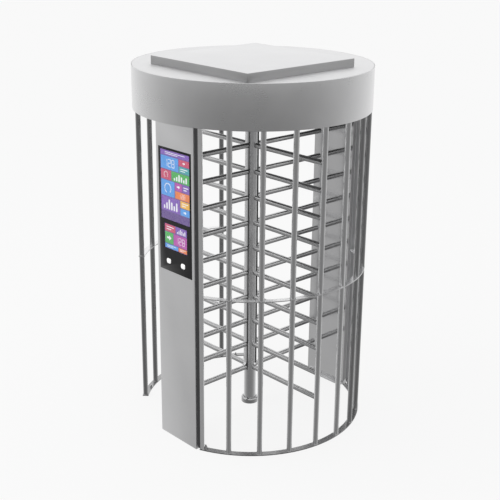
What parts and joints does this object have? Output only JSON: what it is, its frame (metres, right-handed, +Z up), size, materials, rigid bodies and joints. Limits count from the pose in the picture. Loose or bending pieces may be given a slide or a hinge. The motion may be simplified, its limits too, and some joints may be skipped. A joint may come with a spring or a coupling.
{
  "type": "full-height turnstile",
  "caption": "Full-height turnstile with a four-wing rotor, curved bar cages, a round canopy with drive head, and a column with counter screens and buttons.",
  "frame": {"origin": "on the floor under the centre of the canopy, on the axis of the rotor", "axes": "+Z up along the rotor; +Y the walking direction, from the screen column to the plain column; +X the middle of the large cage"},
  "size_m": [1.48, 1.48, 2.353],
  "materials": {
    "black_plastic": "matte black",
    "board_green": "printed circuit board",
    "bright_chrome": "bright chrome",
    "bronze": "bearing bronze",
    "brushed_steel": "satin brushed stainless steel",
    "cast_grey": "machined casting",
    "dark_glass": "black gloss glass",
    "display": "flat display module",
    "painted_sheet": "satin grey",
    "polished_steel": "polished stainless steel",
    "spring_steel": "oiled spring steel",
    "white_plastic": "semi gloss",
    "zinc_steel": "zinc plated"
  },
  "bodies": {
    "frame": {"bearing_housing": "cast_grey", "canopy_beams": "zinc_steel", "canopy_bottom_plate": "brushed_steel", "canopy_skirt": "brushed_steel", "canopy_top_plate": "brushed_steel", "centring_spring": "spring_steel", "control_box": "zinc_steel", "controller_board": "board_green", "counter_sensor": "black_plastic", "end_straps": "brushed_steel", "floor_anchor_strips": "polished_steel", "foot_collar": "bright_chrome", "foot_pivot_pin": "brushed_steel", "foot_thrust_washer": "bronze", "lane_cage_bars": "brushed_steel", "lane_cage_base_ring": "brushed_steel", "lane_cage_mid_ring": "brushed_steel", "large_cage_bar_1": "brushed_steel", "large_cage_bar_2": "brushed_steel", "large_cage_bar_3": "brushed_steel", "large_cage_bar_4": "brushed_steel", "large_cage_bar_5": "brushed_steel", "large_cage_bar_6": "brushed_steel", "large_cage_bar_7": "brushed_steel", "large_cage_bar_8": "brushed_steel", "large_cage_base_ring": "brushed_steel", "large_cage_mid_ring": "brushed_steel", "lock_solenoids": "painted_sheet", "lower_display": "display", "main_display": "display", "mechanism_bolts": "zinc_steel", "mechanism_plate": "zinc_steel", "pivot_pins": "brushed_steel", "plain_column_housing": "brushed_steel", "polished_inner_panel": "polished_steel", "ring_anchor_studs": "bright_chrome", "screen_column_housing": "brushed_steel", "screen_column_rear_cover": "polished_steel", "screen_glass": "dark_glass", "top_bearing": "brushed_steel", "top_cover_box": "brushed_steel"},
    "rotor": {"rotor_pole": "brushed_steel", "rotor_spindle": "brushed_steel", "rotor_foot_plug": "brushed_steel", "rotor_wing_1": "brushed_steel", "rotor_wing_2": "brushed_steel", "rotor_wing_3": "brushed_steel", "rotor_wing_4": "brushed_steel", "wing_end_caps": "brushed_steel", "rotor_corner_strips": "brushed_steel", "index_cam": "brushed_steel", "counter_disc": "brushed_steel"},
    "left_button": {"left_button": "white_plastic"},
    "right_button": {"right_button": "white_plastic"},
    "lock_pawl_1": {"lock_pawl_1": "brushed_steel"},
    "lock_pawl_2": {"lock_pawl_2": "brushed_steel"},
    "solenoid_plunger_1": {"solenoid_plunger_1": "brushed_steel"},
    "solenoid_plunger_2": {"solenoid_plunger_2": "brushed_steel"},
    "centring_lever": {"centring_lever": "brushed_steel"},
    "centring_roller": {"centring_roller": "brushed_steel"}
  },
  "joints": [
    {"name": "rotor_spin", "type": "hinge", "parent": "frame", "child": "rotor", "pos_m": [0, 0, 1], "axis": [0, 0, 1], "continuous": true},
    {"name": "lock_pawl_1_swing", "type": "hinge", "parent": "frame", "child": "lock_pawl_1", "pos_m": [0.125, -0.075, 2.151], "axis": [0, 0, 1], "range_deg": [0, 12]},
    {"name": "lock_pawl_2_swing", "type": "hinge", "parent": "frame", "child": "lock_pawl_2", "pos_m": [-0.125, 0.075, 2.151], "axis": [0, 0, 1], "range_deg": [0, 12]},
    {"name": "plunger_1_slide", "type": "slide", "parent": "frame", "child": "solenoid_plunger_1", "axis": [-1, 0, 0], "range_m": [0, 0.0102]},
    {"name": "plunger_2_slide", "type": "slide", "parent": "frame", "child": "solenoid_plunger_2", "axis": [1, 0, 0], "range_m": [0, 0.0102]},
    {"name": "centring_lever_swing", "type": "hinge", "parent": "frame", "child": "centring_lever", "pos_m": [-0.0295, -0.1427, 2.164], "axis": [0, 0, 1], "range_deg": [-6.5, 0.5], "stiffness_Nm_per_rad": 5, "springref_deg": -11.46},
    {"name": "centring_roller_spin", "type": "hinge", "parent": "centring_lever", "child": "centring_roller", "pos_m": [-0.0766, -0.07333, 2.151], "axis": [0, 0, 1], "continuous": true},
    {"name": "left_button_press", "type": "slide", "parent": "frame", "child": "left_button", "axis": [0, 1, 0], "range_m": [0, 0.002], "stiffness_N_per_m": 400},
    {"name": "right_button_press", "type": "slide", "parent": "frame", "child": "right_button", "axis": [0, 1, 0], "range_m": [0, 0.002], "stiffness_N_per_m": 400}
  ],
  "couplings": [
    {"joint": "plunger_1_slide", "follows": "lock_pawl_1_swing", "m_per_rad": 0.048},
    {"joint": "plunger_2_slide", "follows": "lock_pawl_2_swing", "m_per_rad": 0.048}
  ]
}
